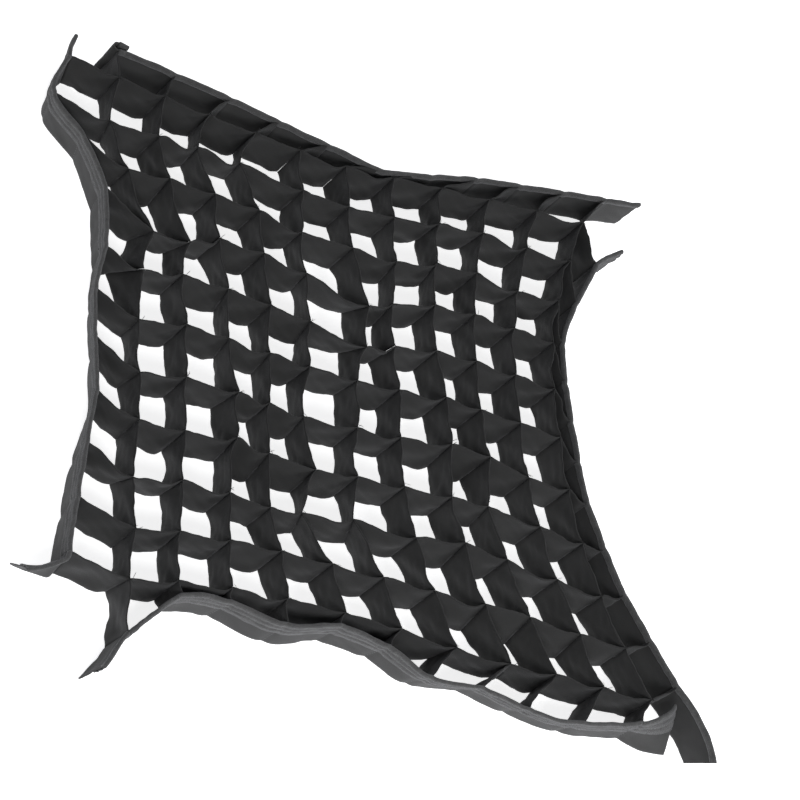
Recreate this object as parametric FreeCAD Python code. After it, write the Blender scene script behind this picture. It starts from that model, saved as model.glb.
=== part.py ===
import FreeCAD, Part
import math
import os

# Egg-crate light-control grid of a softbox: two crossed families of cloth strips inside
# four border bands. It lies loose on its lower edges, pulled out of square.
# Millimetres. +X right along the row strips, +Y to the rear along the column strips,
# +Z up. The floor is z = 0, and the origin is under the middle of the part.

STRIPS = 11             # inner strips each way, which makes 12 x 12 cells
DEPTH = 40.0            # depth of every strip and band
CLOTH = 1.2             # thickness of a strip or band
SLOT_PLAY = 0.33        # gap beside and under a strip in the other strip's slot
SEAM_PLAY = 0.2         # gap between a strip's end and the band that it is sewn to
STEPS = 4               # straight facets that follow one cell's length of cloth
BOW = 2.0               # how far a strip bows sideways between two crossings
FLAT = 1e-6             # four corners this close to one plane make one face

TAPE_THICK = 1.0        # hook tape sewn on the outside of each band
TAPE_LOW = 22.0
TAPE_HIGH = 38.5
TAPE_PLAY = 0.8         # gap between the tape and its band
TAPE_BACK = 5.0         # a flap's tape starts this far past the flap's own start

HEM = 2.0               # band that runs on past its outermost strip
FOLD = 1.0              # gap on each side of a flap's fold line
FLAP_FACETS = 4

# Plan positions before the origin is moved to the middle of the part.
MIDDLE = (-13.5, -2.6)

# Where the strips cross. Each row of the net gives x, y at the column strips in NET_AT,
# and the rows themselves are at the same strip numbers, from front to rear.
NET_AT = (1, 3.5, 6, 8.5, 11)
NET = (
    ((-255, -220), (-130, -203), (5, -201), (133, -204), (255, -204)),
    ((-243, -101), (-137, -96), (-32, -93), (87, -86), (199, -95)),
    ((-243, 23), (-133, 30), (-33, 23), (71, 31), (174, 28)),
    ((-250, 140), (-148, 142), (-34, 132), (70, 147), (174, 145)),
    ((-264, 248), (-153, 240), (-40, 235), (85, 248), (211, 260)),
)

# Crossings that the crumpling has pulled off the smooth net: (column, row), then the
# shift in x and y, then how far the upper edge leans in x and y past the lower edge.
PUCKERS = {
    (1, 1): (5, 0, 0, -6),
    (1, 2): (5, -4, 0, 0),
    (1, 3): (-3, 0, 0, -12),
    (1, 5): (0, -4, 0, -4),
    (1, 6): (2, -4, -5, -4),
    (1, 7): (-2, 2, 16, -13),
    (1, 8): (16, -6, 4, -10),
    (1, 9): (0, 0, -4, -5),
    (1, 10): (-9, -2, -12, -3),
    (2, 3): (0, 4, 0, -4),
    (2, 8): (10, -8, 5, -9),
    (2, 9): (-3, -2, 0, 6),
    (2, 10): (-10, -2, 0, 0),
    (3, 4): (7, 4, 0, 4),
    (3, 5): (4, -1, 5, -2),
    (3, 6): (0, -3, -8, -3),
    (3, 7): (5, -3, -8, 0),
    (3, 10): (-12, 4, -5, -4),
    (4, 3): (-5, -5, 0, 0),
    (4, 4): (-4, -5, 0, 8),
    (4, 5): (-6, -4, 0, 0),
    (4, 6): (-4, -6, -4, 0),
    (4, 7): (0, -5, 0, 0),
    (4, 10): (-14, 6, -8, -7),
    (5, 3): (-12, -2, -14, -3),
    (5, 4): (0, -6, 2, 4),
    (5, 5): (-10, -6, -5, 0),
    (5, 6): (-7, -2, 0, -3),
    (5, 7): (0, -4, -8, 0),
    (5, 8): (0, 2, -8, -6),
    (5, 9): (-3, 0, -4, -6),
    (6, 3): (-6, 3, -16, 0),
    (6, 6): (0, 2, 0, -5),
    (6, 7): (8, -3, 4, -13),
    (6, 8): (12, -5, 3, -13),
    (7, 1): (0, 0, 4, -6),
    (7, 7): (-4, -2, 3, -3),
    (7, 8): (-2, -6, -4, 0),
    (7, 9): (4, -4, -5, 0),
    (8, 1): (9, 0, -10, -6),
    (8, 2): (0, -4, 0, 8),
    (8, 3): (0, 3, 0, 6),
    (8, 5): (7, 3, 0, 3),
    (8, 6): (6, 3, 0, 0),
    (8, 9): (4, 0, -6, 0),
    (8, 10): (0, 4, 0, -5),
    (9, 2): (-4, -4, 0, 8),
    (9, 3): (-5, 2, 0, 0),
    (9, 4): (-6, 1, -6, 0),
    (9, 5): (0, 0, 7, 6),
    (9, 10): (0, 5, 0, -5),
    (10, 2): (0, -4, 0, 6),
    (10, 5): (0, -4, 0, 0),
    (10, 9): (0, -2, 0, -7),
}

# Each band: the strip number, x and y of points along it, its outward direction, and
# how far its upper edge leans outward at those points.
BANDS = {
    "left": {
        "out": (-1, 0),
        "at": (1, 3, 4, 5, 6, 7, 8, 9, 10, 11),
        "line": ((-302, -213), (-286, -110), (-275, -60), (-276, -10), (-277, 35),
                 (-271, 78), (-273, 135), (-293, 180), (-321, 212), (-307, 253)),
        "lean": (4, 8, 14, 17, 15, 9, 8, 13, 10, 12),
    },
    "right": {
        "out": (1, 0),
        "at": (1, 3, 5, 7, 9, 10, 11),
        "line": ((283, -183), (233, -109), (200, -31), (187, 45),
                 (182, 122), (198, 168), (224, 219)),
        "lean": (0, 0, 0, 0, 0, 0, 0),
    },
    "front": {
        "out": (0, -1),
        "at": (1, 2, 3, 4, 5, 6, 7, 8, 9, 10, 11),
        "line": ((-250, -270), (-202, -224), (-157, -217), (-106, -225), (-54, -212),
                 (-8, -217), (32, -233), (82, -229), (128, -237), (182, -239), (243, -228)),
        "lean": (4, 3, 6, 3, 4, 9, 12, 14, 15, 10, 3),
    },
    "rear": {
        "out": (0, 1),
        "at": (1, 3, 5, 6, 8, 11),
        "line": ((-265, 276), (-155, 264), (-56, 250), (-2, 243), (98, 267), (237, 292)),
        "lean": (0,) * 6,
    },
}

# The free end of a band past its outermost strip: the band, the strip number at the
# fold, the length of the flap, and how far it is turned outward from straight on.
FLAPS = {
    "left_front": ("left", 1, 42, 66),
    "left_rear": ("left", 11, 21, 7),
    "right_front": ("right", 1, 66, -6),
    "right_rear": ("right", 11, 34, 22),
    "front_left": ("front", 1, 36, 14),
    "front_right": ("front", 11, 46, 4),
    "rear_left": ("rear", 1, 18, 180),
    "rear_right": ("rear", 11, 36, 0),
}
FOLDED_BACK = 90        # a flap turned further than this lies beside its band
FOLD_CLEAR = 5.4        # and stands this far out from it, tape against tape


def smooth(at, values, where):
    """Value of a smooth curve through (at, values), as a tuple like the values."""
    last = len(at) - 2
    part = max(k for k in range(last + 1) if k == 0 or at[k] <= where)
    span = at[part + 1] - at[part]
    u = (where - at[part]) / span

    def slope(k):
        before = max(k - 1, 0)
        after = min(k + 1, last + 1)
        return [(b - a) / (at[after] - at[before])
                for a, b in zip(values[before], values[after])]

    start = 2 * u ** 3 - 3 * u ** 2 + 1
    leave = (u ** 3 - 2 * u ** 2 + u) * span
    arrive = (u ** 3 - u ** 2) * span
    return tuple(
        start * a + (1 - start) * b + leave * p + arrive * q
        for a, b, p, q in zip(values[part], values[part + 1], slope(part), slope(part + 1))
    )


def crossing(column, row):
    """x, y at mid-depth and the lean in x, y where two strips cross."""
    across = [smooth(NET_AT, line, column) for line in NET]
    x, y = smooth(NET_AT, across, row)
    shift_x, shift_y, lean_x, lean_y = PUCKERS.get((column, row), (0, 0, 0, 0))
    return (x + shift_x, y + shift_y, lean_x, lean_y)


def band_point(name, strip):
    """x, y at mid-depth and the lean in x, y of a band beside a given strip."""
    band = BANDS[name]
    values = [(x, y, lean) for (x, y), lean in zip(band["line"], band["lean"])]
    x, y, lean = smooth(band["at"], values, strip)
    return (x, y, lean * band["out"][0], lean * band["out"][1])


def bowed(knots, bow):
    """Facets through the knots, bowed sideways between crossings but not at the ends."""
    line = [knots[0]]
    for k in range(len(knots) - 1):
        start, end = knots[k], knots[k + 1]
        run = math.hypot(end[0] - start[0], end[1] - start[1])
        side = ((start[1] - end[1]) / run, (end[0] - start[0]) / run)
        height = bow if 0 < k < len(knots) - 2 else 0.0
        for step in range(1, STEPS + 1):
            u = step / STEPS
            swell = height * math.sin(math.pi * u)
            x, y, lean_x, lean_y = (a + (b - a) * u for a, b in zip(start, end))
            line.append((x + swell * side[0], y + swell * side[1], lean_x, lean_y))
    return line


def normals(line):
    """Sideways direction at each point, lengthened at the bends to keep the thickness."""
    result = []
    for k, here in enumerate(line):
        before = line[max(k - 1, 0)]
        after = line[min(k + 1, len(line) - 1)]
        along = []
        for a, b in ((before, here), (here, after)):
            run = math.hypot(b[0] - a[0], b[1] - a[1])
            if run > 0:
                along.append(((b[0] - a[0]) / run, (b[1] - a[1]) / run))
        tx = sum(t[0] for t in along)
        ty = sum(t[1] for t in along)
        total = math.hypot(tx, ty)
        bend = max(abs(along[0][0] * tx + along[0][1] * ty) / total, 0.5)
        result.append((-ty / total / bend, tx / total / bend))
    return result


def ribbon(line, low=0.0, high=DEPTH, thick=CLOTH, aside=0.0):
    """Closed flat-faced solid that follows a line on edge, between two heights."""
    corners = []
    for (x, y, lean_x, lean_y), (nx, ny) in zip(line, normals(line)):
        for z in (low, high):
            share = z / DEPTH - 0.5
            for side in (-0.5, 0.5):
                out = aside + side * thick
                corners.append(FreeCAD.Vector(
                    x + lean_x * share + nx * out - MIDDLE[0],
                    y + lean_y * share + ny * out - MIDDLE[1],
                    z,
                ))
    faces = []

    def quad(a, b, c, d):
        first, second, third, fourth = (corners[k] for k in (a, b, c, d))
        square = (second - first).cross(third - first)
        if abs(square.dot(fourth - first)) < FLAT * square.Length:
            loops = [(first, second, third, fourth)]
        else:
            loops = [(first, second, third), (first, third, fourth)]
        for loop in loops:
            faces.append(Part.Face(Part.makePolygon(loop + loop[:1])))

    for k in range(len(line) - 1):
        here, there = 4 * k, 4 * (k + 1)
        quad(here, here + 1, there + 1, there)
        quad(here + 3, here + 2, there + 2, there + 3)
        # Both sides are split along the same diagonal, so a twist keeps the thickness.
        quad(here + 1, here + 3, there + 3, there + 1)
        quad(here, there, there + 2, here + 2)
    end = 4 * (len(line) - 1)
    quad(0, 2, 3, 1)
    quad(end + 1, end + 3, end + 2, end + 0)
    return Part.Solid(Part.Shell(faces))


def largest(shape):
    return max(shape.Solids, key=lambda solid: solid.Volume)


def row_line(row):
    inner = [crossing(column, row) for column in range(1, STRIPS + 1)]
    return bowed([band_point("left", row)] + inner + [band_point("right", row)], -BOW)


def column_line(column):
    inner = [crossing(column, row) for row in range(1, STRIPS + 1)]
    return bowed([band_point("front", column)] + inner + [band_point("rear", column)], BOW)


def band_line(name):
    """The sewn length of a band, with its hem past the outermost strips."""
    steps = (STRIPS - 1) * STEPS
    line = [band_point(name, 1 + step / STEPS) for step in range(steps + 1)]
    first = carry_on(line[1], line[0], HEM)
    final = carry_on(line[-2], line[-1], HEM)
    return [first] + line + [final]


def carry_on(before, here, length):
    """The point a given length straight on from a line's end."""
    run = math.hypot(here[0] - before[0], here[1] - before[1])
    dx = (here[0] - before[0]) / run * length
    dy = (here[1] - before[1]) / run * length
    return (here[0] + dx, here[1] + dy, here[2], here[3])


def outside(name, line):
    """+1 where the outside of a band is on the left of its line, else -1."""
    out = BANDS[name]["out"]
    dx = line[-1][0] - line[0][0]
    dy = line[-1][1] - line[0][1]
    return 1 if -dy * out[0] + dx * out[1] > 0 else -1


def flap_line(name, skip=0.0):
    """The fold axis of a flap, and its line from near the fold to its free end."""
    band, strip, length, turn = FLAPS[name]
    line = band_line(band)
    before, here = (line[1], line[0]) if strip == 1 else (line[-2], line[-1])
    axis = carry_on(before, here, FOLD)
    side = outside(band, [before, here])
    heading = math.atan2(here[1] - before[1], here[0] - before[0])
    if turn > FOLDED_BACK:
        square = heading + side * math.pi / 2
        axis = (axis[0] + FOLD_CLEAR / 2 * math.cos(square),
                axis[1] + FOLD_CLEAR / 2 * math.sin(square), axis[2], axis[3])
        start = (axis[0] + FOLD_CLEAR / 2 * math.cos(square),
                 axis[1] + FOLD_CLEAR / 2 * math.sin(square), axis[2], axis[3])
    else:
        start = axis
    heading += side * math.radians(turn)
    points = []
    for k in range(FLAP_FACETS + 1):
        reach = FOLD + skip + (length - FOLD - skip) * k / FLAP_FACETS
        points.append((start[0] + reach * math.cos(heading),
                       start[1] + reach * math.sin(heading), start[2], start[3]))
    return axis, points


def tape(line, side):
    """Hook tape beside a line, on its left (side +1) or its right (-1)."""
    aside = side * (CLOTH / 2 + TAPE_PLAY + TAPE_THICK / 2)
    return ribbon(line, TAPE_LOW, TAPE_HIGH, TAPE_THICK, aside)


def flap_tape(name):
    """The tape's end, on the face that is outside when the flap is straight on."""
    band, strip = FLAPS[name][:2]
    line = band_line(band)
    along = [line[1], line[0]] if strip == 1 else [line[-2], line[-1]]
    return tape(flap_line(name, TAPE_BACK)[1], outside(band, along))


def build():
    numbers = range(1, STRIPS + 1)
    middle = DEPTH / 2
    wide = CLOTH + 2 * SLOT_PLAY
    row_lines = [row_line(row) for row in numbers]
    column_lines = [column_line(column) for column in numbers]
    upper = [ribbon(line, middle - SLOT_PLAY, DEPTH + 1, wide) for line in row_lines]
    lower = [ribbon(line, -1, middle + SLOT_PLAY, wide) for line in column_lines]
    seams = {name: ribbon(band_line(name), -1, DEPTH + 1, CLOTH + 2 * SEAM_PLAY)
             for name in BANDS}

    parts = {}
    for number, line in zip(numbers, row_lines):
        cut = ribbon(line).cut(lower + [seams["left"], seams["right"]])
        parts["row_strip_%02d" % number] = largest(cut)
    for number, line in zip(numbers, column_lines):
        cut = ribbon(line).cut(upper + [seams["front"], seams["rear"]])
        parts["column_strip_%02d" % number] = largest(cut)
    for name in BANDS:
        line = band_line(name)
        parts["band_" + name] = ribbon(line)
        parts["tape_" + name] = tape(line[1:-1], outside(name, line))
    for name in FLAPS:
        parts["flap_" + name] = ribbon(flap_line(name)[1])
        parts["flap_tape_" + name] = flap_tape(name)
    return parts


def write_parts():
    os.makedirs("parts", exist_ok=True)
    for name, solid in build().items():
        solid.exportStep("parts/%s.step" % name)


write_parts()
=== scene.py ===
import math
import random

import bpy
import numpy as np
from mathutils import Matrix, Vector, noise


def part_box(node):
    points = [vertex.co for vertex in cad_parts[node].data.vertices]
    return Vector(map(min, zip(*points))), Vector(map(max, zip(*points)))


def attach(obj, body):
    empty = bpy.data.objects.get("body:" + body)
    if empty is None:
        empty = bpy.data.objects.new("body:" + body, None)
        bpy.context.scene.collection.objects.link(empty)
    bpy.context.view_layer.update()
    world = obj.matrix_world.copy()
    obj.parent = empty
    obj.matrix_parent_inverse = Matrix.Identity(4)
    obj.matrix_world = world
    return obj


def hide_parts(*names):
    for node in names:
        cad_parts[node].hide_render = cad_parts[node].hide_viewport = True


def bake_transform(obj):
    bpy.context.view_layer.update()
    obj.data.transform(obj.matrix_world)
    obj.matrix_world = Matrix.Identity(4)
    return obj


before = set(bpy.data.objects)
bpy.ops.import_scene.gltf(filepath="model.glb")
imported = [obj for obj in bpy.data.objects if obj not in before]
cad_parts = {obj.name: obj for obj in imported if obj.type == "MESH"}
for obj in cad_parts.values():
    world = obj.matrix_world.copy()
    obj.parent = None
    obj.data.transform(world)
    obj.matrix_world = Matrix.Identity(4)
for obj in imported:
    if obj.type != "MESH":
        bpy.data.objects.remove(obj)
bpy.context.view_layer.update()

# The drape is described in millimetres and in plan, like the CAD's own. Meshes are made
# in metres, moved so that the rear band lies where its CAD solid does.
MM = 0.001
STRIPS = 11
DEPTH = 40.0
CUT_CELL = 50.0             # cloth cut for one cell of a strip, along the strip

CAD_CLOTH = 1.2             # thickness of the CAD bands
CAD_HEM = 2.0               # length of CAD band past its outermost strip

STRIP_CLOTH = 0.8           # thicknesses as drawn here
BAND_CLOTH = 1.1
TAPE_CLOTH = 0.9
SLIT = 0.65                 # half the width of a slot where two strips cross
SEAM = 1.3                  # a strip ends this far from the middle of its band
CELL_STEPS = 20             # mesh steps along one cell of a strip or band
DEPTH_STEPS = 14            # mesh steps over the depth, an even number
CURL = 34.0                 # spacing of the larger ripples in the bands
CRUMPLE = 24.0              # of the folds in the strips
CREASE = 9.0                # and of the small creases in both

STITCH_PITCH = 3.4          # from one stitch to the next
STITCH_LONG = 2.3
STITCH_THICK = 0.42
SEAM_STITCHES = (3.0, 21.0)  # heights of the stitches that hold a strip's end
THREAD_LONG = (3.0, 6.5)    # loose ends of thread at the slots

# The smooth net: a line for each of these row numbers, with x, y at these column numbers.
NET_AT = (1, 3.5, 6, 8.5, 11)
NET = (
    ((-255, -220), (-130, -203), (5, -201), (133, -204), (255, -204)),
    ((-243, -101), (-137, -96), (-32, -93), (87, -86), (199, -95)),
    ((-243, 23), (-133, 30), (-33, 23), (71, 31), (174, 28)),
    ((-250, 140), (-148, 142), (-34, 132), (70, 147), (174, 145)),
    ((-264, 248), (-153, 240), (-40, 235), (85, 248), (211, 260)),
)

# Crossings off the smooth net: (column, row), shift in x and y, lean in x and y.
PUCKERS = {
    (1, 1): (5, 0, 0, -6),
    (1, 2): (5, -4, 0, 0),
    (1, 3): (-3, 0, 0, -12),
    (1, 5): (0, -4, 0, -4),
    (1, 6): (2, -4, -5, -4),
    (1, 7): (-2, 2, 16, -13),
    (1, 8): (16, -6, 4, -10),
    (1, 9): (0, 0, -4, -5),
    (1, 10): (-9, -2, -12, -3),
    (2, 3): (0, 4, 0, -4),
    (2, 8): (10, -8, 5, -9),
    (2, 9): (-3, -2, 0, 6),
    (2, 10): (-10, -2, 0, 0),
    (3, 4): (7, 4, 0, 4),
    (3, 5): (4, -1, 5, -2),
    (3, 6): (0, -3, -8, -3),
    (3, 7): (5, -3, -8, 0),
    (3, 10): (-12, 4, -5, -4),
    (4, 3): (-5, -5, 0, 0),
    (4, 4): (-4, -5, 0, 8),
    (4, 5): (-6, -4, 0, 0),
    (4, 6): (-4, -6, -4, 0),
    (4, 7): (0, -5, 0, 0),
    (4, 10): (-14, 6, -8, -7),
    (5, 3): (-12, -2, -14, -3),
    (5, 4): (0, -6, 2, 4),
    (5, 5): (-10, -6, -5, 0),
    (5, 6): (-7, -2, 0, -3),
    (5, 7): (0, -4, -8, 0),
    (5, 8): (0, 2, -8, -6),
    (5, 9): (-3, 0, -4, -6),
    (6, 3): (-6, 3, -16, 0),
    (6, 6): (0, 2, 0, -5),
    (6, 7): (8, -3, 4, -13),
    (6, 8): (12, -5, 3, -13),
    (7, 1): (0, 0, 4, -6),
    (7, 7): (-4, -2, 3, -3),
    (7, 8): (-2, -6, -4, 0),
    (7, 9): (4, -4, -5, 0),
    (8, 1): (9, 0, -10, -6),
    (8, 2): (0, -4, 0, 8),
    (8, 3): (0, 3, 0, 6),
    (8, 5): (7, 3, 0, 3),
    (8, 6): (6, 3, 0, 0),
    (8, 9): (4, 0, -6, 0),
    (8, 10): (0, 4, 0, -5),
    (9, 2): (-4, -4, 0, 8),
    (9, 3): (-5, 2, 0, 0),
    (9, 4): (-6, 1, -6, 0),
    (9, 5): (0, 0, 7, 6),
    (9, 10): (0, 5, 0, -5),
    (10, 2): (0, -4, 0, 6),
    (10, 5): (0, -4, 0, 0),
    (10, 9): (0, -2, 0, -7),
}

# Each band: outward direction, strip numbers, x and y there, outward lean there.
BANDS = {
    "left": ((-1, 0), (1, 3, 4, 5, 6, 7, 8, 9, 10, 11),
             ((-302, -213), (-286, -110), (-275, -60), (-276, -10), (-277, 35),
              (-271, 78), (-273, 135), (-293, 180), (-321, 212), (-307, 253)),
             (4, 8, 14, 17, 15, 9, 8, 13, 10, 12)),
    "right": ((1, 0), (1, 3, 5, 7, 9, 10, 11),
              ((283, -183), (233, -109), (200, -31), (187, 45),
               (182, 122), (198, 168), (224, 219)),
              (0,) * 7),
    "front": ((0, -1), (1, 2, 3, 4, 5, 6, 7, 8, 9, 10, 11),
              ((-250, -270), (-202, -224), (-157, -217), (-106, -225), (-54, -212),
               (-8, -217), (32, -233), (82, -229), (128, -237), (182, -239), (243, -228)),
              (4, 3, 6, 3, 4, 9, 12, 14, 15, 10, 3)),
    "rear": ((0, 1), (1, 3, 5, 6, 8, 11),
             ((-265, 276), (-155, 264), (-56, 250), (-2, 243), (98, 267), (237, 292)),
             (0,) * 6),
}

# Each flap: its band, the strip number at its fold, its length, its outward turn in
# degrees, how far it curls further outward by its tip, and at the tip how far its upper
# edge leans outward and how far it runs on past its lower edge.
FLAPS = {
    "left_front": ("left", 1, 38, 62, 20, -24, 0),
    "left_rear": ("left", 11, 21, 7, -8, 0, 0),
    "right_front": ("right", 1, 64, 5, -30, 3, 16),
    "right_rear": ("right", 11, 34, 22, 14, 0, 0),
    "front_left": ("front", 1, 36, 14, -8, 3, 0),
    "front_right": ("front", 11, 42, 4, -26, -30, 4),
    "rear_left": ("rear", 1, 18, 180, 0, 0, 0),
    "rear_right": ("rear", 11, 36, 0, 6, 0, 0),
}
FLAP_STEP = 1.0             # mesh step along a flap
FOLD = 3.0                  # from a band's last strip to the fold of its flap
FOLD_EARLY = 1.5            # a flap starts to turn this far before its fold
FOLD_ROUND = 7.0            # and has turned after this length
FOLD_CLEAR = 5.4            # between a band and a flap folded right back on it
# Flaps whose inside takes the outside's paler cloth: painted light, as they stand clear of the
# strips' shade.
LIT_FLAP_INSIDE = ("rear_right",)
BAND_SEED = 80              # a band and its flaps share a seed, so their ripples meet


# ------------------------------------------------------------------ the plan

def smooth(at, values, where):
    """Value of a smooth curve through (at, values), as an array."""
    values = np.array(values, float)
    last = len(at) - 2
    part = max(k for k in range(last + 1) if k == 0 or at[k] <= where)
    span = at[part + 1] - at[part]
    u = (where - at[part]) / span
    slope = []
    for k in (part, part + 1):
        before = max(k - 1, 0)
        after = min(k + 1, last + 1)
        slope.append((values[after] - values[before]) / (at[after] - at[before]))
    start = 2 * u ** 3 - 3 * u ** 2 + 1
    leave = (u ** 3 - 2 * u ** 2 + u) * span
    arrive = (u ** 3 - u ** 2) * span
    ends = start * values[part] + (1 - start) * values[part + 1]
    return ends + leave * slope[0] + arrive * slope[1]


def crossing(column, row):
    """x, y at mid-depth and the lean in x, y where two strips cross."""
    across = [smooth(NET_AT, line, column) for line in NET]
    place = smooth(NET_AT, across, row)
    shift_x, shift_y, lean_x, lean_y = PUCKERS.get((column, row), (0, 0, 0, 0))
    return np.array((place[0] + shift_x, place[1] + shift_y, lean_x, lean_y))


def band_point(name, strip):
    """x, y at mid-depth and the lean in x, y of a band beside a given strip."""
    out, at, line, lean = BANDS[name]
    place = smooth(at, line, strip)
    tilt = smooth(at, [(value,) for value in lean], strip)[0]
    return np.array((place[0], place[1], tilt * out[0], tilt * out[1]))


def origin_shift():
    """Takes the plan's millimetres to the frame's origin, from the rear band's place."""
    strips = np.linspace(1, STRIPS, (STRIPS - 1) * CELL_STEPS + 1)
    line = np.array([band_point("rear", strip) for strip in strips])
    lo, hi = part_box("band_rear")
    left = lo[0] / MM + CAD_HEM
    rear = hi[1] / MM - CAD_CLOTH / 2
    return Vector((left - line[:, 0].min(), rear - line[:, 1].max()))


SHIFT = origin_shift()


# ------------------------------------------------------------------ cloth meshes

def ripple(place, size, seed):
    """Smooth noise from about -1 to 1 at a place in millimetres."""
    return noise.noise(Vector((place[0] / size, place[1] / size, seed * 7.31)))


def sideways(points):
    """Unit left-hand directions in plan along a line of points."""
    along = np.gradient(points[:, :2], axis=0)
    along /= np.linalg.norm(along, axis=1)[:, None]
    return np.stack((-along[:, 1], along[:, 0]), axis=1)


def thicken(middle, keep, thick):
    """Vertices, faces and face kinds of closed cloth about a grid of mid-surface points.

    keep marks the grid's cells that are cloth. Kinds: 0 the side that the grid's normal
    leaves, 1 the other side, 2 the cut edges.
    """
    rows, columns = middle.shape[:2]
    along = np.gradient(middle, axis=0)
    across = np.gradient(middle, axis=1)
    normal = np.cross(along, across)
    normal /= np.linalg.norm(normal, axis=2)[:, :, None]
    sides = np.stack((middle + normal * thick / 2, middle - normal * thick / 2), axis=2)
    vertices = sides.reshape(-1, 3)

    def at(i, j, side):
        return (i * columns + j) * 2 + side

    faces, kinds = [], []
    for i in range(rows - 1):
        for j in range(columns - 1):
            if not keep[i, j]:
                continue
            ring = ((i, j), (i + 1, j), (i + 1, j + 1), (i, j + 1))
            faces.append([at(a, b, 0) for a, b in ring])
            kinds.append(0)
            faces.append([at(a, b, 1) for a, b in reversed(ring)])
            kinds.append(1)
            beside = ((i, j - 1), (i + 1, j), (i, j + 1), (i - 1, j))
            for k, (a, b) in enumerate(beside):
                if 0 <= a < rows - 1 and 0 <= b < columns - 1 and keep[a, b]:
                    continue
                start, end = ring[k], ring[(k + 1) % 4]
                faces.append([at(*start, 1), at(*end, 1), at(*end, 0), at(*start, 0)])
                kinds.append(2)
    return vertices, faces, kinds


class Cloth:
    """Collects parts of one piece, then makes its mesh with cloth coordinates."""

    def __init__(self):
        self.points, self.faces, self.slots, self.flat = [], [], [], []
        self.count = 0

    def add(self, vertices, faces, slots, flat):
        self.points.append(np.asarray(vertices, float))
        self.flat.append(np.asarray(flat, float))
        self.faces += [[k + self.count for k in face] for face in faces]
        self.slots += list(slots)
        self.count += len(vertices)

    def sheet(self, middle, keep, thick, flat, slots):
        """A sheet about a grid; slots gives the material number of each face kind."""
        vertices, faces, kinds = thicken(middle, keep, thick)
        doubled = np.repeat(flat.reshape(-1, 2), 2, axis=0)
        self.add(vertices, faces, [slots[k] for k in kinds], doubled)

    def stitch(self, place, along, outward, slot, long=STITCH_LONG):
        """One raised stitch that lies on the cloth, or a loose end of thread."""
        along = along / np.linalg.norm(along) * long / 2
        outward = outward / np.linalg.norm(outward)
        wide = np.cross(along, outward)
        wide = wide / np.linalg.norm(wide) * STITCH_THICK / 2
        ends = []
        for step, rise, width in ((-1, -0.5, 0.5), (-0.5, 0.9, 1), (0.5, 0.9, 1), (1, -0.5, 0.5)):
            centre = place + along * step + outward * rise * STITCH_THICK / 2
            for a, b in ((1, 0), (0, 1), (-1, 0), (0, -1)):
                ends.append(centre + wide * a * width + outward * b * width * STITCH_THICK / 2)
        faces = [[3, 2, 1, 0], [12, 13, 14, 15]]
        for k in range(3):
            for a in range(4):
                b = (a + 1) % 4
                faces.append([4 * k + a, 4 * k + b, 4 * k + 4 + b, 4 * k + 4 + a])
        self.add(ends, faces, [slot] * len(faces), np.zeros((16, 2)))

    def build(self, name, materials):
        """The finished object, in the frame's metres."""
        points = np.concatenate(self.points)
        points[:, 0] += SHIFT[0]
        points[:, 1] += SHIFT[1]
        used = sorted({k for face in self.faces for k in face})
        new = {old: k for k, old in enumerate(used)}
        mesh = bpy.data.meshes.new(name)
        mesh.from_pydata((points[used] * MM).tolist(), [],
                         [[new[k] for k in face] for face in self.faces])
        flat = np.concatenate(self.flat)[used] * MM
        layer = mesh.uv_layers.new(name="cloth")
        corner = np.empty(len(mesh.loops), dtype=np.int32)
        mesh.loops.foreach_get("vertex_index", corner)
        layer.data.foreach_set("uv", flat[corner].astype(np.float32).ravel())
        for material in materials:
            mesh.materials.append(material)
        mesh.polygons.foreach_set("material_index", np.array(self.slots, dtype=np.int32))
        mesh.polygons.foreach_set("use_smooth", np.ones(len(self.faces), dtype=bool))
        mesh.validate()
        mesh.update()
        piece = bpy.data.objects.new(name, mesh)
        bpy.context.scene.collection.objects.link(piece)
        return piece


# ------------------------------------------------------------------ strips

# How a strip bows in one cell, each drawn from a range: at its lower edge, at its upper
# edge, how much later than half-way it is highest, and a second wave's height.
BOWS = {
    "row": ((-4.6, -0.8), (-5.2, -1.4), (1.4, 2.3), (-0.5, 0.5)),
    "column": ((-4.4, -1.0), (0.2, 3.0), (0.8, 1.4), (-1.4, 1.4)),
}
FOLDS = 2.6                 # heights of a strip's folds and small creases
CREASES = 0.9


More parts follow.
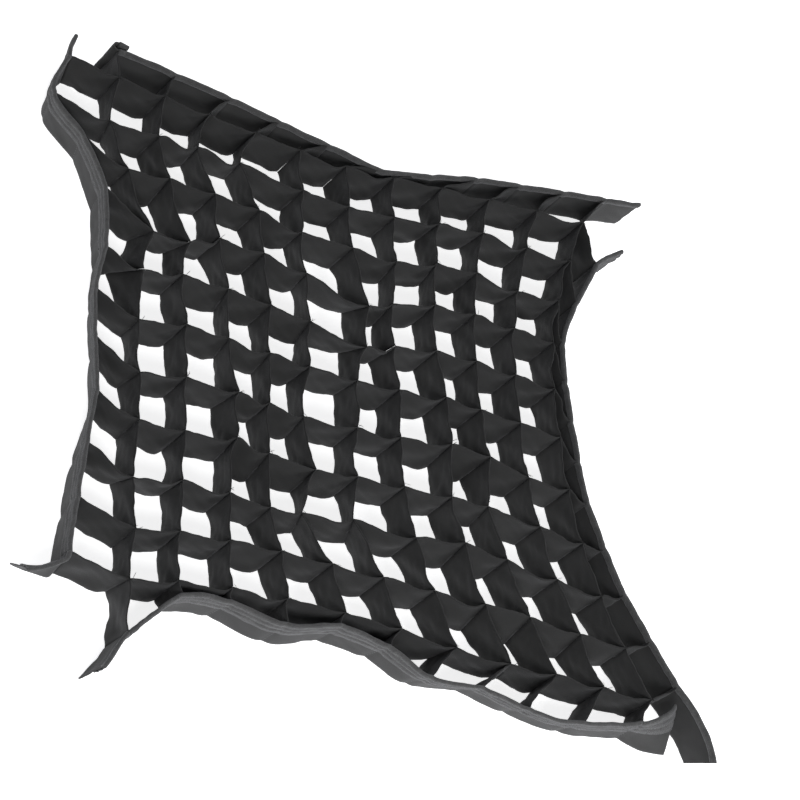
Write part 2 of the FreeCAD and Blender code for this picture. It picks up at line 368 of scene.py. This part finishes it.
def strip_shape(knots, kind, seed):
    """Mid-surface, cells kept and cloth coordinates of one strip, as grids."""
    rand = random.Random(seed)
    share = np.linspace(0, 1, DEPTH_STEPS + 1)
    middle, flat, stations = [], [], []
    for cell in range(len(knots) - 1):
        start, end = knots[cell], knots[cell + 1]
        run = np.linalg.norm(end[:2] - start[:2])
        left = np.array((start[1] - end[1], end[0] - start[0])) / run
        first = (SEAM if cell == 0 else SLIT) / run
        final = 1 - (SEAM if cell == len(knots) - 2 else SLIT) / run
        low, high, skew, second = (rand.uniform(*span) for span in BOWS[kind])
        if cell in (0, len(knots) - 2):
            low *= 0.6
        for u in np.linspace(first, final, CELL_STEPS + 1):
            place = start + (end - start) * u
            bump = math.sin(math.pi * u ** skew)
            wave = math.sin(2 * math.pi * u)
            hold = min(1.0, 6 * u, 6 * (1 - u))
            for v in share:
                bow = (low * (1 - v) ** 1.2 + high * v) * bump
                bow += second * wave * (0.3 + abs(v - 0.5))
                bow += hold * FOLDS * ripple((place[0], place[1] + 50 * v), CRUMPLE, seed)
                bow += hold * CREASES * ripple((place[0] + 60 * v, place[1]), CREASE, seed + 5)
                z = v * DEPTH
                if v in (0.0, 1.0):
                    fray = 0.7 + 0.7 * ripple(place * 2, CREASE, seed + v)
                    z += fray if v == 0 else -fray
                elif 0.06 < v < 0.94:
                    z += hold * 0.3 * ripple(place, CREASE, seed + 9)
                middle.append((
                    place[0] + place[2] * (v - 0.5) + left[0] * bow,
                    place[1] + place[3] * (v - 0.5) + left[1] * bow,
                    z,
                ))
                flat.append(((cell + u) * CUT_CELL, z))
            stations.append(cell + u)
    columns = DEPTH_STEPS + 1
    middle = np.array(middle).reshape(-1, columns, 3)
    flat = np.array(flat).reshape(-1, columns, 2)
    keep = np.ones((len(stations) - 1, DEPTH_STEPS), dtype=bool)
    half = DEPTH_STEPS // 2
    for k in range(1, len(knots) - 1):
        slot = k * (CELL_STEPS + 1) - 1
        if kind == "column":
            keep[slot, half:] = False
        else:
            keep[slot, :half] = False
    return middle, keep, flat


def loose_threads(cloth, middle, seed):
    """Short thread ends at some of the slots, on the upper edge, where the cut cloth frays."""
    rand = random.Random(seed + 300)
    for slot in range(1, STRIPS + 1):
        for _ in range(rand.choice((0, 0, 1, 3))):
            station = slot * (CELL_STEPS + 1) + rand.choice((-2, -1, 0, 1))
            along = np.array((rand.uniform(-1, 1), rand.uniform(-1, 1), 0.2))
            long = rand.uniform(*THREAD_LONG)
            place = middle[station, DEPTH_STEPS] + along / np.linalg.norm(along) * 0.4 * long
            cloth.stitch(place, along, np.array((0.1, 0.2, 1.0)), 0, long)


def strip_knots(kind, number):
    ends = ("left", "right") if kind == "row" else ("front", "rear")
    inner = []
    for other in range(1, STRIPS + 1):
        inner.append(crossing(other, number) if kind == "row" else crossing(number, other))
    return [band_point(ends[0], number)] + inner + [band_point(ends[1], number)]


def make_strip(kind, number, material):
    cloth = Cloth()
    seed = number + (0 if kind == "row" else 40)
    middle, keep, flat = strip_shape(strip_knots(kind, number), kind, seed)
    cloth.sheet(middle, keep, STRIP_CLOTH, flat, (0, 0, 0))
    loose_threads(cloth, middle, seed)
    node = "%s_strip_%02d" % (kind, number)
    piece = cloth.build("cloth_" + node, [material])
    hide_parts(node)
    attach(piece, "grid")
    return piece


# ------------------------------------------------------------------ bands and flaps

class Edge:
    """A length of border band: its line in plan with lean, and its outward directions."""

    def __init__(self, line, outward, seed, strips):
        self.line = np.array(line, float)
        self.out = np.array(outward, float)
        self.seed = seed
        steps = np.linalg.norm(np.diff(self.line[:, :2], axis=0), axis=1)
        self.reach = np.concatenate(([0.0], np.cumsum(steps)))
        self.strips = strips
        self.near = np.abs(strips - np.round(strips))

    def bulge(self, k, v):
        """How far the cloth stands out from the line, at one station and height share."""
        x, y = self.line[k, :2]
        swell = 1.2 * ripple((x, y + 50 * v), CURL * 1.3, self.seed)
        swell += 0.8 * ripple((x + 40 * v, y - 20 * v), CREASE * 2, self.seed + 7)
        swell += 0.5 * ripple((x + 70 * v, y), CREASE, self.seed + 3)
        near = self.near[k]
        swell = swell * min(1, 0.3 + 3 * near) - 0.9 * math.exp(-(near / 0.07) ** 2)
        return swell + 1.1 * math.sin(math.pi * near) * (1 - v)

    def point(self, k, z, proud=0.0):
        v = z / DEPTH
        out = self.bulge(k, min(v, 1.0)) + proud
        x, y, lean_x, lean_y = self.line[k]
        return (x + lean_x * (v - 0.5) + self.out[k, 0] * out,
                y + lean_y * (v - 0.5) + self.out[k, 1] * out, z)


def band_cloth(cloth, edge, slots):
    """The band's own cloth. slots: material numbers of outside, inside, cut edge."""
    heights = np.linspace(0, DEPTH, DEPTH_STEPS + 1)
    middle, flat = [], []
    for k in range(len(edge.line)):
        for z in heights:
            rough = 0.3 + 0.3 * ripple((edge.reach[k], z), CREASE, edge.seed)
            lift = rough if z == 0 else 0.0
            middle.append(edge.point(k, z + lift))
            flat.append((edge.reach[k], z))
    columns = DEPTH_STEPS + 1
    middle = np.array(middle).reshape(-1, columns, 3)
    flat = np.array(flat).reshape(-1, columns, 2)
    keep = np.ones((middle.shape[0] - 1, DEPTH_STEPS), dtype=bool)
    probe = np.cross(middle[1, 0] - middle[0, 0], middle[0, 1] - middle[0, 0])
    facing = probe[:2] @ edge.out[0] > 0
    order = slots if facing else (slots[1], slots[0], slots[2])
    cloth.sheet(middle, keep, BAND_CLOTH, flat, order)


# Height and stand-off of the hook tape's section, from its lower edge outside the band,
# over the band's upper edge, to its hem inside.
TAPE_SECTION = (
    (22.0, 1.0), (22.6, 1.25), (23.6, 1.1), (24.6, 1.6), (26.6, 2.0), (28.6, 1.7),
    (29.6, 1.15), (30.6, 1.6), (32.6, 2.05), (34.6, 1.75), (35.8, 1.15), (37.0, 1.55),
    (38.6, 1.6), (40.0, 1.1), (40.6, 0.0), (40.0, -1.1), (38.2, -1.35), (36.4, -1.15),
    (35.2, -1.0),
)
TAPE_POINT = 2.0            # cloth from one point of the section to the next
STITCH_ROWS = (23.6, 29.6, 35.8)


def hook_tape(cloth, edge, slots, first=0):
    """Hook tape folded over the band's upper edge and stitched down in rows.

    first is the station where it starts: a sharp fold is left clear of it.
    """
    middle, flat = [], []
    for k in range(first, len(edge.line)):
        x, y = edge.line[k, :2]
        for number, (z, proud) in enumerate(TAPE_SECTION):
            puff = 1 + 0.35 * ripple((x, y + 9 * number), CREASE * 1.4, edge.seed + 11)
            stand = proud * (puff if abs(proud) > 1.3 else 1.0)
            fray = 0.5 * ripple((edge.reach[k], number), 4.0, edge.seed + 13)
            height = z + (fray if number in (0, len(TAPE_SECTION) - 1) else 0.0)
            middle.append(edge.point(k, height, stand))
            flat.append((edge.reach[k], number * TAPE_POINT))
    columns = len(TAPE_SECTION)
    middle = np.array(middle).reshape(-1, columns, 3)
    flat = np.array(flat).reshape(-1, columns, 2)
    keep = np.ones((middle.shape[0] - 1, columns - 1), dtype=bool)
    cloth.sheet(middle, keep, TAPE_CLOTH, flat, (slots[0],) * 3)
    along = np.gradient(edge.line[:, :2], axis=0)
    for z in STITCH_ROWS:
        stand = next(proud for height, proud in TAPE_SECTION if height == z)
        reach = edge.reach[first] + STITCH_PITCH
        while reach < edge.reach[-1] - STITCH_PITCH / 2:
            k = int(np.searchsorted(edge.reach, reach))
            place = np.array(edge.point(k, z, stand + TAPE_CLOTH / 2))
            run = np.array((*along[k], 0.0))
            cloth.stitch(place, run, np.array((*edge.out[k], 0.0)), slots[1])
            reach += STITCH_PITCH


def seam_stitches(cloth, edge, slot):
    """Upright rows of stitches that hold each strip's end, on the band's outside."""
    for strip in range(1, STRIPS + 1):
        k = int(np.argmin(np.abs(edge.strips - strip)))
        for z in np.arange(*SEAM_STITCHES, STITCH_PITCH):
            place = np.array(edge.point(k, z, BAND_CLOTH / 2))
            up = np.array((0.0, 0.0, 1.0))
            cloth.stitch(place, up, np.array((*edge.out[k], 0.0)), slot)


def band_edge(name, seed):
    """The band's sewn length, from its first strip to its last."""
    strips = np.linspace(1, STRIPS, (STRIPS - 1) * CELL_STEPS + 1)
    line = np.array([band_point(name, strip) for strip in strips])
    left = sideways(line)
    side = 1 if (left @ np.array(BANDS[name][0])).sum() > 0 else -1
    return Edge(line, left * side, seed, strips)


def flap_edge(name, seed):
    """A flap's length, from its band's last strip round the fold to its free tip."""
    band, strip, length, turn, curl, lean, slant = FLAPS[name]
    edge = band_edge(band, seed)
    inner, here = (edge.line[1], edge.line[0]) if strip == 1 else (edge.line[-2], edge.line[-1])
    heading = math.atan2(here[1] - inner[1], here[0] - inner[0])
    out = edge.out[0] if strip == 1 else edge.out[-1]
    side = 1 if math.cos(heading) * out[1] - math.sin(heading) * out[0] > 0 else -1
    line, outward = [], []
    place = here.copy()
    turn_over = FOLD_ROUND if turn < 90 else math.pi * FOLD_CLEAR / 2
    steps = int((FOLD + length) / FLAP_STEP)
    for k in range(steps + 1):
        reach = k * FLAP_STEP
        bend = min(max((reach - FOLD + FOLD_EARLY) / turn_over, 0.0), 1.0)
        bend = bend * bend * (3 - 2 * bend) if turn < 90 else bend
        tip = max(reach - FOLD, 0.0) / length
        angle = heading + side * math.radians(turn * bend + curl * tip ** 2)
        square = angle + side * math.pi / 2
        outward.append((math.cos(square), math.sin(square)))
        lean_x = here[2] + tip * (lean * math.cos(square) + slant * math.cos(angle))
        lean_y = here[3] + tip * (lean * math.sin(square) + slant * math.sin(angle))
        line.append((place[0], place[1], lean_x, lean_y))
        place[0] += FLAP_STEP * math.cos(angle)
        place[1] += FLAP_STEP * math.sin(angle)
    edge = Edge(line, outward, seed, strip + np.arange(len(line)) * FLAP_STEP / CUT_CELL)
    edge.near = np.minimum(edge.strips - strip, 0.5)
    return edge


def make_band(name, seed, materials):
    edge = band_edge(name, seed)
    cloth = Cloth()
    band_cloth(cloth, edge, (0, 1, 0))
    seam_stitches(cloth, edge, 2)
    used = [materials[k] for k in ("outside", "inside", "thread")]
    piece = cloth.build("cloth_band_" + name, used)
    trim = Cloth()
    hook_tape(trim, edge, (0, 1))
    tape = trim.build("trim_tape_" + name, [materials["tape"], materials["thread"]])
    for made, node, slot in ((piece, "band_" + name, "band_cloth"),
                             (tape, "tape_" + name, "hook_tape")):
        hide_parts(node)
        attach(made, "grid")


def make_flap(name, seed, materials):
    edge = flap_edge(name, seed)
    turn = FLAPS[name][3]
    cloth = Cloth()
    band_cloth(cloth, edge, (0, 1, 0))
    inside = "outside" if name in LIT_FLAP_INSIDE else "inside"
    piece = cloth.build("cloth_flap_" + name, [materials["outside"], materials[inside]])
    trim = Cloth()
    past_fold = int((FOLD + math.pi * FOLD_CLEAR / 2) / FLAP_STEP) + 1
    hook_tape(trim, edge, (0, 1), past_fold if turn > 90 else 0)
    tape = trim.build("trim_flap_tape_" + name, [materials["tape"], materials["thread"]])
    for made, node, slot in ((piece, "flap_" + name, "band_cloth"),
                             (tape, "flap_tape_" + name, "hook_tape")):
        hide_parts(node)
        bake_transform(made)


# ------------------------------------------------------------------ materials

WEAVE = 0.0007              # metres from thread to thread
EDGE_WEAR_AND_SHADE = 0.0014          # width of the edges in their own colour, in metres: lighter for wear on the bands, darker for painted shade on the strips
CREASE_SHADE_WIDE = 0.09          # half the width of the painted shade in a crease at a crossing, as a share of a cell


class Nodes:
    """A material whose shader nodes are added and linked by short calls."""

    def __init__(self, name):
        self.material = bpy.data.materials.new(name)
        self.material.use_nodes = True
        self.tree = self.material.node_tree
        self.tree.nodes.clear()

    def put(self, node, socket, value):
        if isinstance(value, bpy.types.NodeSocket):
            self.tree.links.new(value, node.inputs[socket])
        else:
            node.inputs[socket].default_value = value

    def math(self, operation, a, b=0.0, c=0.0):
        node = self.tree.nodes.new("ShaderNodeMath")
        node.operation = operation
        for k, value in enumerate((a, b, c)):
            self.put(node, k, value)
        return node.outputs[0]

    def noise(self, vector, scale, detail=3.0, rough=0.55):
        node = self.tree.nodes.new("ShaderNodeTexNoise")
        self.put(node, "Vector", vector)
        self.put(node, "Scale", scale)
        self.put(node, "Detail", detail)
        self.put(node, "Roughness", rough)
        return node.outputs["Fac"]

    def wave(self, vector, direction, period):
        node = self.tree.nodes.new("ShaderNodeTexWave")
        node.bands_direction = direction
        self.put(node, "Vector", vector)
        self.put(node, "Scale", 2 * math.pi / 20 / period)
        self.put(node, "Distortion", 1.0)
        self.put(node, "Detail", 1.0)
        self.put(node, "Detail Scale", 0.5)
        return node.outputs["Fac"]

    def mix(self, share, first, second):
        node = self.tree.nodes.new("ShaderNodeMix")
        node.data_type = "RGBA"
        self.put(node, 0, share)
        self.put(node, 6, first)
        self.put(node, 7, second)
        return node.outputs[2]

    def finish(self, colour, rough, height, strength, distance, sheen):
        """The cloth's shader, with a bump of that height, strength and distance."""
        surface = self.tree.nodes.new("ShaderNodeBsdfPrincipled")
        bump = self.tree.nodes.new("ShaderNodeBump")
        self.put(bump, "Height", height)
        self.put(bump, "Strength", strength)
        self.put(bump, "Distance", distance)
        self.put(surface, "Base Color", colour)
        self.put(surface, "Roughness", rough)
        self.put(surface, "Normal", bump.outputs[0])
        self.put(surface, "Specular IOR Level", 0.25)
        self.put(surface, "Sheen Weight", sheen)
        self.put(surface, "Sheen Roughness", 0.5)
        self.put(surface, "Sheen Tint", (0.75, 0.76, 0.8, 1.0))
        output = self.tree.nodes.new("ShaderNodeOutputMaterial")
        self.tree.links.new(surface.outputs[0], output.inputs[0])
        return self.material


def grey(value):
    return (value, value, value, 1.0)


def woven(name, colour, edge_colour, painted_crease_shade=0.0):
    """Plain woven cloth with uneven dye, edges in their own colour and a fine weave; a lighter
    edge colour is wear, a darker one painted shade.

    The last argument is how much darker painted shade makes the cloth in the creases at the
    crossings.
    """
    n = Nodes(name)
    cloth = n.tree.nodes.new("ShaderNodeUVMap")
    cloth.uv_map = "cloth"
    cloth = cloth.outputs[0]
    space = n.tree.nodes.new("ShaderNodeTexCoord").outputs["Object"]
    blotch = n.noise(space, 9.0)
    patch = n.noise(space, 60.0, 4.0)
    grain = n.noise(cloth, 1100.0, 2.0, 0.7)
    shade = n.math("MULTIPLY_ADD", blotch, 0.5, 0.75)
    shade = n.math("MULTIPLY", shade, n.math("MULTIPLY_ADD", patch, 0.5, 0.75))
    shade = n.math("MULTIPLY", shade, n.math("MULTIPLY_ADD", grain, 0.6, 0.7))
    separate = n.tree.nodes.new("ShaderNodeSeparateXYZ")
    n.put(separate, 0, cloth)
    # Painted shade: the cloth darkens towards each crossing, in the crease where two strips meet.
    cell = n.math("DIVIDE", separate.outputs[0], CUT_CELL * MM)
    near = n.math("ABSOLUTE", n.math("SUBTRACT", cell, n.math("ROUND", cell)))
    near = n.math("MINIMUM", n.math("DIVIDE", near, CREASE_SHADE_WIDE), 1.0)
    shade = n.math("MULTIPLY", shade, n.math("MULTIPLY_ADD", near, painted_crease_shade, 1.0 - painted_crease_shade))
    # Edge colour towards the upper and lower edges: wear where it is lighter, on the bands'
    # outside, and painted shade where it is darker, on the strips.
    across = separate.outputs[1]
    middle = n.math("ABSOLUTE", n.math("SUBTRACT", across, DEPTH * MM / 2))
    edge_wear_and_shade = n.math("SUBTRACT", middle, DEPTH * MM / 2 - EDGE_WEAR_AND_SHADE)
    edge_wear_and_shade = n.math("DIVIDE", edge_wear_and_shade, MM)
    edge_wear_and_shade = n.math("MINIMUM", n.math("MAXIMUM", edge_wear_and_shade, 0.0), 1.0)
    edge_wear_and_shade = n.math("MULTIPLY", edge_wear_and_shade, n.math("MULTIPLY_ADD", n.noise(cloth, 220.0), 1.2, -0.1))
    base = n.mix(edge_wear_and_shade, colour, edge_colour)
    tone = n.tree.nodes.new("ShaderNodeVectorMath")
    tone.operation = "SCALE"
    n.put(tone, 0, base)
    n.put(tone, "Scale", shade)
    threads = n.math("MULTIPLY", n.wave(cloth, "X", WEAVE), n.wave(cloth, "Y", WEAVE))
    height = n.math("MULTIPLY_ADD", threads, 0.5, n.math("MULTIPLY", grain, 0.6))
    rough = n.math("MULTIPLY_ADD", patch, 0.15, 0.78)
    return n.finish(tone.outputs[0], rough, height, 0.5, 0.0002, 0.08)


def fuzzy(name, colour, hook_glint):
    """Hook and loop tape: rough and uneven, with painted highlights in pale patches where its
    hooks catch the light.
    """
    n = Nodes(name)
    space = n.tree.nodes.new("ShaderNodeTexCoord").outputs["Object"]
    fuzz = n.noise(space, 700.0, 4.0, 0.8)
    clump = n.noise(space, 160.0, 3.0)
    # Painted highlight: pale patches where the hooks catch the light.
    share = n.math("MULTIPLY", n.math("MULTIPLY_ADD", fuzz, 1.6, -0.3), clump)
    share = n.math("MINIMUM", n.math("MAXIMUM", share, 0.0), 1.0)
    base = n.mix(share, colour, hook_glint)
    height = n.math("MULTIPLY_ADD", clump, 0.5, fuzz)
    return n.finish(base, 0.95, height, 0.9, 0.0009, 0.2)


def plain(name, colour):
    """Sewing thread."""
    n = Nodes(name)
    space = n.tree.nodes.new("ShaderNodeTexCoord").outputs["Object"]
    grain = n.noise(space, 1500.0, 2.0)
    return n.finish(colour, 0.9, grain, 0.3, 0.0001, 0.1)


# ------------------------------------------------------------------ studio

# Each light: its place in metres, its size and its power in watts.
LIGHTS = {
    "key": ((-1.0, -2.5, 2.1), 1.0, 62),
    "side": ((-2.4, -0.8, 1.6), 1.6, 6),
    "near": ((0.9, -1.1, 1.2), 0.7, 15),
    "back": ((1.0, 2.6, 1.8), 1.6, 30),
}
SKY = 0.28                  # strength of the plain light from all round
FLOOR_GLOW = 0.8            # keeps the floor white in the grid's shadow

CAMERA_AT = (34.8, 43.2)    # what the camera looks at, on the plan
CAMERA_FROM = (-0.4778, -0.5043, 0.7193)
CAMERA_FAR = 3.6
CAMERA_ROLL = 51.2
CAMERA_LENS = 189.7


def make_floor():
    size = 4.0
    mesh = bpy.data.meshes.new("floor")
    corners = [(-size, -size, 0), (size, -size, 0), (size, size, 0), (-size, size, 0)]
    mesh.from_pydata(corners, [], [(0, 1, 2, 3)])
    floor = bpy.data.objects.new("floor", mesh)
    n = Nodes("pale_floor")
    surface = n.tree.nodes.new("ShaderNodeBsdfPrincipled")
    n.put(surface, "Base Color", (0.86, 0.86, 0.87, 1.0))
    n.put(surface, "Roughness", 0.8)
    n.put(surface, "Emission Color", (1.0, 1.0, 1.0, 1.0))
    n.put(surface, "Emission Strength", FLOOR_GLOW)
    output = n.tree.nodes.new("ShaderNodeOutputMaterial")
    n.tree.links.new(surface.outputs[0], output.inputs[0])
    mesh.materials.append(n.material)
    bpy.context.scene.collection.objects.link(floor)


def aim(thing, target):
    direction = Vector(target) - thing.location
    thing.rotation_mode = "QUATERNION"
    thing.rotation_quaternion = direction.to_track_quat("-Z", "Y")


def area_light(name, place, size, power):
    data = bpy.data.lights.new(name, "AREA")
    data.shape = "DISK"
    data.size = size
    data.energy = power
    lamp = bpy.data.objects.new(name, data)
    lamp.location = place
    bpy.context.scene.collection.objects.link(lamp)
    aim(lamp, (0, 0, 0))


def make_studio():
    make_floor()
    world = bpy.data.worlds.new("studio")
    bpy.context.scene.world = world
    world.use_nodes = True
    background = world.node_tree.nodes["Background"]
    background.inputs[0].default_value = (0.93, 0.95, 1.0, 1.0)
    background.inputs[1].default_value = SKY
    for name, (place, size, power) in LIGHTS.items():
        area_light(name, place, size, power)


def make_camera():
    """A long lens from the front left, turned about its own line of sight."""
    target = Vector((CAMERA_AT[0] + SHIFT[0], CAMERA_AT[1] + SHIFT[1], 0.0)) * MM
    back = Vector(CAMERA_FROM).normalized()
    right = Vector((0, 0, 1)).cross(back).normalized()
    up = back.cross(right)
    roll = math.radians(CAMERA_ROLL)
    across = right * math.cos(roll) + up * math.sin(roll)
    upward = back.cross(across)
    data = bpy.data.cameras.new("camera")
    data.lens = CAMERA_LENS
    data.sensor_width = 36.0
    data.clip_end = 30.0
    camera = bpy.data.objects.new("camera", data)
    turn = Matrix((across, upward, back)).transposed().to_4x4()
    camera.matrix_world = Matrix.Translation(target + back * CAMERA_FAR) @ turn
    bpy.context.scene.collection.objects.link(camera)
    bpy.context.scene.camera = camera


# ------------------------------------------------------------------ the part

def make_part():
    # The strips get painted shade: darker in the creases at the crossings and along their upper
    # and lower edges.
    strip = woven("strip_weave", grey(0.021), grey(0.017), painted_crease_shade=0.55)
    materials = {
        "outside": woven("band_weave", grey(0.033), grey(0.04)),
        # The bands' inside is darker than their outside: painted shade, for the shade it lies in
        # among the strips.
        "inside": woven("band_inside_shaded", grey(0.024), grey(0.024)),
        "tape": fuzzy("hook_fuzz", grey(0.026), grey(0.13)),
        "thread": plain("sewing_thread", grey(0.12)),
    }
    for number in range(1, STRIPS + 1):
        make_strip("row", number, strip)
        make_strip("column", number, strip)
    for seed, name in enumerate(BANDS, BAND_SEED):
        make_band(name, seed, materials)
    for name in FLAPS:
        seed = BAND_SEED + list(BANDS).index(FLAPS[name][0])
        make_flap(name, seed, materials)


make_part()
make_studio()
make_camera()
bpy.context.scene.view_settings.view_transform = "Standard"
